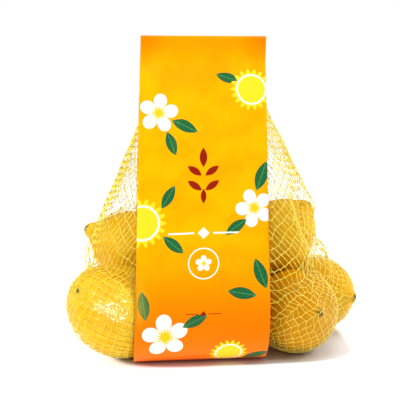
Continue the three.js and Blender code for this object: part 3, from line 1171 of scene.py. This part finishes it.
def draw_divider(tree, x, y, ink, _):
    """A line that opens about a lozenge."""
    across = calc(tree, "ABSOLUTE", x)
    up = calc(tree, "ABSOLUTE", y)
    lozenge = calc(tree, "SUBTRACT", 0.17, calc(tree, "ADD", across, up))
    reach = calc(tree, "SUBTRACT", 0.37, apart(tree, across, 0.63))
    line = calc(tree, "MINIMUM", reach, calc(tree, "SUBTRACT", 0.03, up))
    return ink, inked(tree, calc(tree, "MAXIMUM", lozenge, line), 60)


class BandPrint:
    """Stamps shapes on the band by their place on a panel: across it, and down from its top edge."""

    def __init__(self, tree, length):
        self.tree = tree
        self.length = length
        self.colour = ground_colour(tree, length)
        self.map = tree.nodes.new("ShaderNodeTexCoord").outputs["UV"]
        self.groups = {}

    def stamp(self, panel, draw, spot, first, second):
        across, down, turn, size = spot
        front = panel == "front"
        u = (BAND_WIDTH / 2 + (across if front else -across)) / self.length
        v = 1 - down / self.length if front else down / self.length
        place = self.tree.nodes.new("ShaderNodeMapping")
        place.vector_type = "TEXTURE"
        fill(place, {
            "Location": (u, v, 0), "Rotation": (0, 0, math.radians(turn if front else turn + 180)),
            "Scale": (size / self.length, size / self.length, 1)})
        self.tree.links.new(self.map, place.inputs["Vector"])
        if draw not in self.groups:
            self.groups[draw] = shape_group(draw)
        shape = self.tree.nodes.new("ShaderNodeGroup")
        shape.node_tree = self.groups[draw]
        fill(shape, {"First": (*first, 1), "Second": (*second, 1)})
        self.tree.links.new(place.outputs["Vector"], shape.inputs["Place"])
        self.colour = blend(self.tree, shape.outputs["Cover"], self.colour, shape.outputs["Colour"])


def ground_colour(tree, length):
    """Warm yellow-orange, a deeper orange near the top edge and deeper still at its two top corners, and
    orange where the band turns under the bag.
    """
    place = tree.nodes.new("ShaderNodeTexCoord").outputs["UV"]
    u, v = split_place(tree, place)
    down = calc(tree, "PINGPONG", calc(tree, "MULTIPLY", v, length), length / 2)
    across = calc(tree, "ABSOLUTE", calc(tree, "MULTIPLY_ADD", u, length, -BAND_WIDTH / 2))
    mottle = noise(tree, place, 26, 2)
    colour = blend(tree, fade(tree, mottle, 0.3, 0.7), GROUND_DEEP, GROUND_PALE)
    wandering = calc(tree, "ADD", down, calc(tree, "MULTIPLY", mottle, 0.012))
    colour = blend(tree, fade(tree, wandering, 0.155, 0.230), colour, GROUND_LOW)
    colour = blend(tree, fade(tree, wandering, 0.055, 0.0, 0, 0.7), colour, GROUND_HEAD)
    corner = calc(tree, "MULTIPLY", fade(tree, down, 0.022, 0.0), fade(tree, across, 0.018, 0.048))
    return blend(tree, calc(tree, "MULTIPLY", corner, 0.8), colour, GROUND_LOW)


def print_finish(length):
    """Satin film with blossoms, leaves and suns, plain ornaments in the middle and no lettering."""
    finish, tree, shader = new_finish("printed_film", {
        "Roughness": 0.42, "Specular IOR Level": 0.28, "Specular Tint": (1.0, 0.60, 0.05, 1)})
    work = BandPrint(tree, length)
    marks = (
        (draw_blossom, BLOSSOMS, INK_WHITE, INK_HEART), (draw_leaf, LEAVES, INK_GREEN, INK_VEIN),
        (draw_sun, SUNS, INK_SUN, INK_WHITE), (draw_leaf, SPRIG, INK_RED, INK_RED),
        (draw_divider, UPPER_DIVIDER, INK_WHITE, INK_WHITE), (draw_ring, RING, INK_WHITE, INK_WHITE),
        (draw_blossom, RING_BLOSSOM, INK_WHITE, INK_HEART),
        (draw_divider, LOWER_DIVIDER, INK_RED, INK_RED))
    for panel in ("front", "back"):
        for draw, spots, first, second in marks:
            for spot in spots:
                work.stamp(panel, draw, spot, first, second)
    tree.links.new(work.colour, shader.inputs["Base Color"])
    emboss(tree, shader, noise(tree, object_place(tree), 140, 2), 0.0006, 0.35)
    return finish


# ---------------------------------------------------------------- stage

def add_floor():
    """A pale floor that glows, a painted light, so that it is white all round but for a rounded oblong
    under the bag where the glow fades and it holds its shade.
    """
    deselect_all()
    bpy.ops.mesh.primitive_plane_add(size=12, location=(0, 0, BAND_LOW.z))
    floor = bpy.context.active_object
    floor.name = "studio_floor"
    finish, tree, shader = new_finish("white_glowing_floor", {
        "Roughness": 0.7, "Base Color": (0.74, 0.74, 0.75, 1), "Specular IOR Level": 0.2,
        "Emission Color": (1.0, 0.98, 1.0, 1)})
    inward = vector_calc(
        tree, "MULTIPLY_ADD", object_place(tree), (1 / SHADE_HALF_LENGTH, 1 / SHADE_HALF_DEPTH, 0.0),
        (-SHADE_X / SHADE_HALF_LENGTH, -SHADE_Y / SHADE_HALF_DEPTH, 0.0))
    far = vector_calc(tree, "LENGTH", vector_calc(tree, "MULTIPLY", inward, inward))
    # Painted light: the floor glows outside the oblong and far away, which hides the shade there.
    glow = fade(tree, far, 0.91, 1.12, 0.0, 0.64)
    beyond = fade(tree, far, 8.0, 40.0, 0.0, 0.13)
    tree.links.new(calc(tree, "ADD", glow, beyond), shader.inputs["Emission Strength"])
    floor.data.materials.append(finish)


def add_light(name, place, aim, size, power):
    lamp = bpy.data.lights.new(name, "AREA")
    lamp.size = size
    lamp.energy = power
    holder = bpy.data.objects.new(name, lamp)
    holder.visible_camera = False
    holder.location = place
    holder.rotation_euler = (Vector(aim) - Vector(place)).to_track_quat("-Z", "Y").to_euler()
    bpy.context.scene.collection.objects.link(holder)
    return holder


def light_stage():
    """A white world that lights more from the back and the right, and lamps; one of them only shines."""
    world = bpy.context.scene.world or bpy.data.worlds.new("studio")
    bpy.context.scene.world = world
    world.use_nodes = True
    tree = world.node_tree
    tree.nodes.clear()
    seen = tree.nodes.new("ShaderNodeBackground")
    fill(seen, {"Color": (1, 1, 1, 1), "Strength": 1.0})
    lit = tree.nodes.new("ShaderNodeBackground")
    fill(lit, {"Color": (0.94, 0.96, 1.0, 1)})
    x, y = split_place(tree, tree.nodes.new("ShaderNodeTexCoord").outputs["Generated"])
    strength = calc(tree, "MULTIPLY_ADD", y, 0.16, 0.40)
    strength = calc(tree, "MULTIPLY_ADD", x, 0.06, strength)
    tree.links.new(strength, lit.inputs["Strength"])
    path = tree.nodes.new("ShaderNodeLightPath")
    mix = tree.nodes.new("ShaderNodeMixShader")
    output = tree.nodes.new("ShaderNodeOutputWorld")
    tree.links.new(path.outputs["Is Camera Ray"], mix.inputs["Fac"])
    tree.links.new(lit.outputs["Background"], mix.inputs[1])
    tree.links.new(seen.outputs["Background"], mix.inputs[2])
    tree.links.new(mix.outputs["Shader"], output.inputs["Surface"])
    lamps = {name: add_light(name, *values) for name, values in LAMPS.items()}
    lamps["shine"].data.spread = math.radians(6)
    lamps["shine"].visible_diffuse = False
    bpy.context.scene.view_settings.view_transform = "Standard"


def add_camera():
    """Eye a little to the left of the front, level with the upper part of the band, looking down."""
    distance = 0.600
    azimuth = math.radians(-6)
    pan = math.radians(0.23)
    pitch = math.radians(8.38)
    height = 0.204
    aim_x = 0.00335
    focal_length = 785 / 400  # as a share of the picture's width
    sensor = 36
    turn = azimuth + pan
    look = Vector((-math.sin(turn) * math.cos(pitch), math.cos(turn) * math.cos(pitch), -math.sin(pitch)))
    camera = bpy.data.cameras.new("camera")
    camera.sensor_width = sensor
    camera.lens = focal_length * sensor
    camera.clip_start = 0.01
    holder = bpy.data.objects.new("camera", camera)
    holder.location = ORIGIN + Vector((
        aim_x + distance * math.sin(azimuth), -distance * math.cos(azimuth), height))
    holder.rotation_euler = look.to_track_quat("-Z", "Y").to_euler()
    bpy.context.scene.collection.objects.link(holder)
    bpy.context.scene.camera = holder


def build():
    add_camera()
    add_floor()
    light_stage()
    peel = peel_finish()
    forms = LemonForms()
    lemons = [model_lemon(name, lemon) for name, lemon in LEMONS.items()]
    for lemon in lemons:
        dress(lemon, peel)
    film, sections, length = model_film(forms)
    dress(film, print_finish(length))
    panels = model_net(forms, film_room(sections))
    thread = thread_finish()
    for panel in panels:
        dress(panel, thread)
        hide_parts("net_bag")
    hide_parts("film_band")


build()
